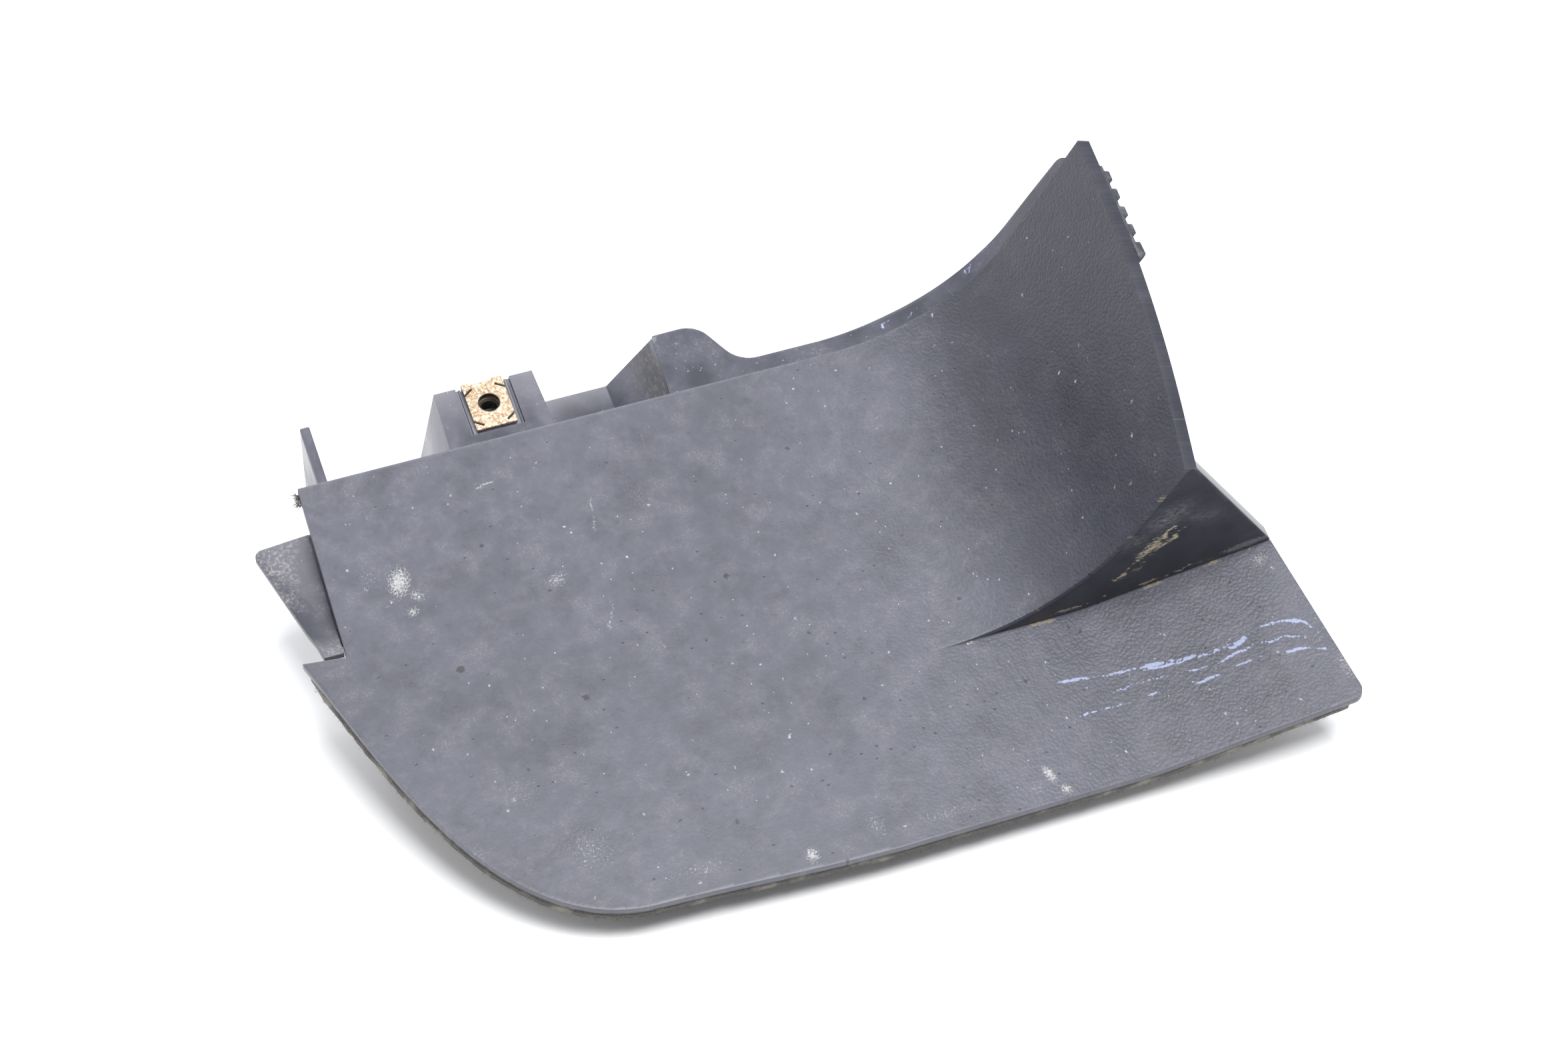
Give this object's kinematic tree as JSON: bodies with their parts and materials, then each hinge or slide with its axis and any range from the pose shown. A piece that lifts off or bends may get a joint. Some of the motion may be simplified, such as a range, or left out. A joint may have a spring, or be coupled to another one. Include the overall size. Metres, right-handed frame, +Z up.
{
  "type": "footwell kick shield",
  "caption": "Moulded footwell trim panel with a swept side, a dart and wing, a clip tower with a spring nut, a felt liner and a toothed edge pad.",
  "frame": {"origin": "on the ground below the middle of the part's bounding box, with the part lying on its back", "axes": "+X along the straight top edge towards the swept side, +Y from the foot to the top edge, level with the ground, +Z up"},
  "size_m": [0.2956, 0.207, 0.1328],
  "materials": {
    "grained_plastic": "pebble grained dark slate grey, dusty and scuffed",
    "smooth_plastic": "smooth satin dark slate grey",
    "zinc_steel": "dull zinc plate with orange rust",
    "felt": "needled felt, dusty",
    "rubber": "matt black rubber"
  },
  "bodies": {
    "root": {"face_skin": "grained_plastic", "top_flange": "smooth_plastic", "ledge_and_ramp": "smooth_plastic", "ledge_web": "smooth_plastic", "outer_wall": "smooth_plastic", "back_rib_1": "smooth_plastic", "back_rib_2": "smooth_plastic", "back_rib_3": "smooth_plastic", "back_rib_4": "smooth_plastic", "clip_tower": "smooth_plastic", "locating_tongue": "smooth_plastic", "side_tab": "smooth_plastic", "spring_nut": "zinc_steel", "felt_liner": "felt", "edge_pad": "rubber"}
  },
  "joints": []
}
